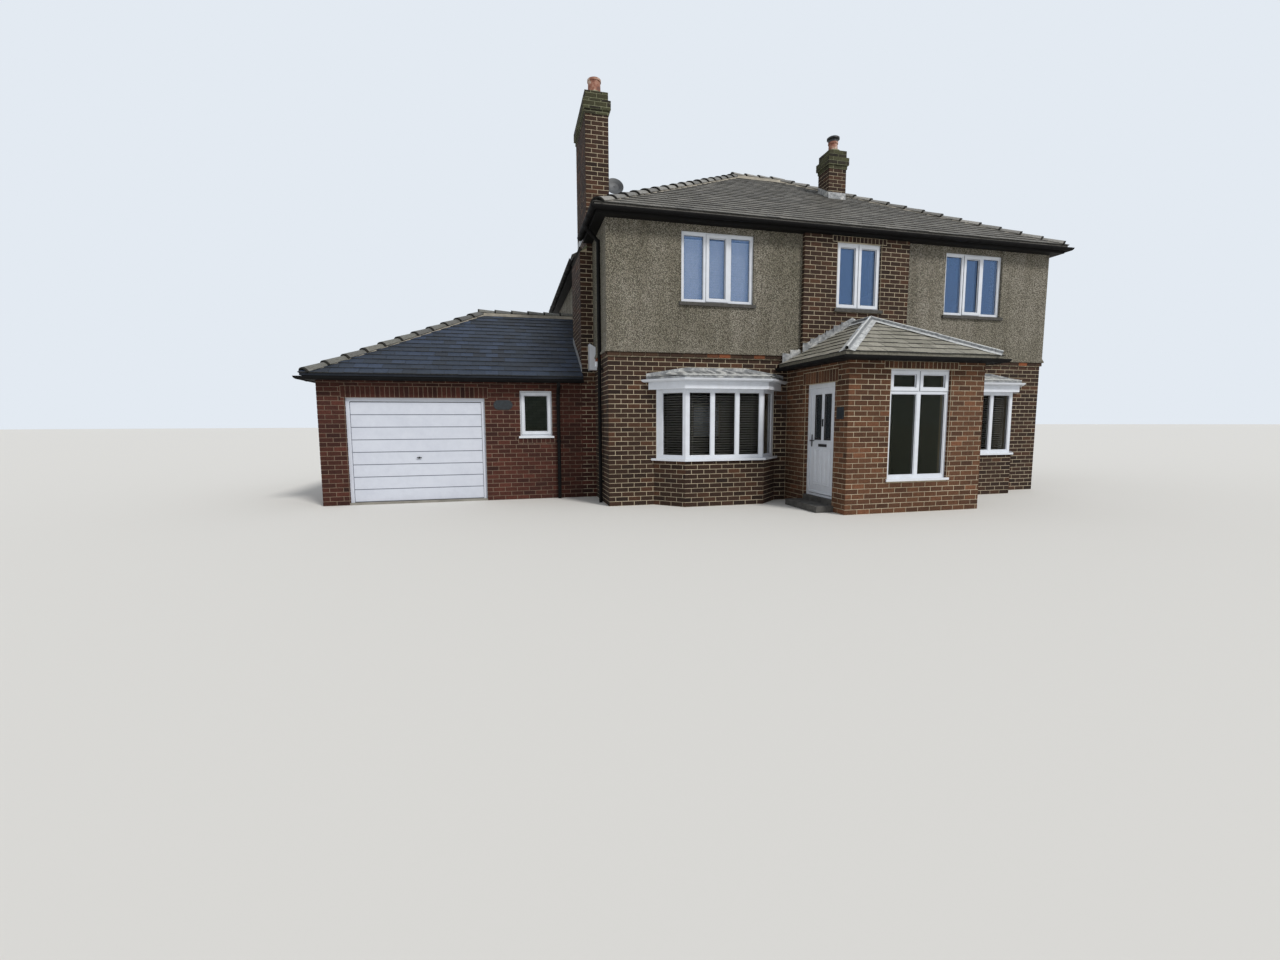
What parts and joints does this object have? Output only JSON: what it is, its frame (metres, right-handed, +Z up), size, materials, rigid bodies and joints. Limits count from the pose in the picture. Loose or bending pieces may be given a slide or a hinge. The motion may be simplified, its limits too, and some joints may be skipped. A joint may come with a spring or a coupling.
{
  "type": "detached house",
  "caption": "Two-storey brick and pebbledash detached house with hipped slate roof, canted bays, brick porch with front door, and garage with up-and-over door.",
  "frame": {"origin": "on the ground, at the middle of the main block's plan", "axes": "+X to the right seen from the front, +Y from the front to the rear, +Z up"},
  "size_m": [15.605, 11.105, 8.505],
  "materials": {
    "concrete": "float finished concrete",
    "brown_brick": "brown brick, pale mortar",
    "red_brick": "red-brown brick, pale mortar",
    "floor_timber": "sawn boards",
    "pebbledash": "grey-green pebbledash",
    "slate": "weathered grey slate",
    "blue_slate": "blue-grey slate",
    "ridge_tile": "weathered grey clay",
    "black_board": "black paint",
    "black_plastic": "black, satin",
    "terracotta": "weathered terracotta",
    "black_metal": "black paint",
    "lead": "dull weathered lead",
    "white_upvc": "white, satin",
    "dark_sill": "dark painted stone",
    "window_glass": "clear double glazing",
    "dark_glass": "dark patterned glass",
    "dark_stone": "dark stone",
    "zinc_steel": "zinc plated",
    "white_steel": "white, satin",
    "grey_metal": "grey, matt",
    "dark_slate": "dark slate, bare",
    "white_plastic": "white, matt"
  },
  "bodies": {
    "house": {"main_floor": "concrete", "front_wall_ground": "brown_brick", "side_walls_ground": "brown_brick", "rear_wall_ground": "brown_brick", "upper_floor": "floor_timber", "front_wall_upper": "pebbledash", "side_walls_upper": "pebbledash", "rear_wall_upper": "pebbledash", "brick_panel": "brown_brick", "main_roof": "slate", "ridge_tiles": "ridge_tile", "eaves": "black_board", "gutters": "black_plastic", "downpipes": "black_plastic", "left_chimney": "brown_brick", "roof_chimney": "brown_brick", "chimney_pots": "terracotta", "pot_cowl": "black_metal", "leadwork": "lead", "upper_window_frames": "white_upvc", "stone_sills": "dark_sill", "upper_glass": "window_glass", "ground_window_frames": "white_upvc", "ground_glass": "window_glass", "bay_plinths": "brown_brick", "bay_window_frames": "white_upvc", "bay_eaves": "white_upvc", "bay_roofs": "slate", "bay_gutters": "white_upvc", "porch_floor": "dark_stone", "porch_front_wall": "red_brick", "porch_side_walls": "red_brick", "porch_door_lintel": "red_brick", "porch_roof": "slate", "front_door_frame": "white_upvc", "garage_floor": "concrete", "garage_front_wall": "red_brick", "garage_door_lintel": "red_brick", "garage_left_wall": "red_brick", "garage_rear_wall": "red_brick", "garage_roof": "blue_slate", "garage_door_frame": "white_upvc", "garage_door_tracks": "zinc_steel", "garage_track_flanges": "zinc_steel", "satellite_dish": "grey_metal", "plaques": "dark_slate", "wall_fittings": "white_plastic"},
    "front_door_leaf": {"front_door": "white_upvc", "front_door_glass": "dark_glass", "front_door_furniture": "black_metal"},
    "garage_arms": {"garage_door_arms": "zinc_steel"},
    "garage_leaf": {"garage_door": "white_steel", "garage_door_fittings": "black_metal"}
  },
  "joints": [
    {"name": "front_door_hinge", "type": "hinge", "parent": "house", "child": "front_door_leaf", "pos_m": [-1.15, -5.8075, 1], "axis": [0, 0, -1], "range_deg": [0, 90]},
    {"name": "garage_arm_pivot", "type": "hinge", "parent": "house", "child": "garage_arms", "pos_m": [-8.3735, -2.645, 1.87], "axis": [1, 0, 0], "range_deg": [0, 84]},
    {"name": "garage_leaf_pivot", "type": "hinge", "parent": "garage_arms", "child": "garage_leaf", "pos_m": [-8.3735, -2.645, 1.25], "axis": [1, 0, 0], "range_deg": [-168, 0]}
  ],
  "couplings": [
    {"joint": "garage_leaf_pivot", "follows": "garage_arm_pivot", "ratio": -2}
  ]
}
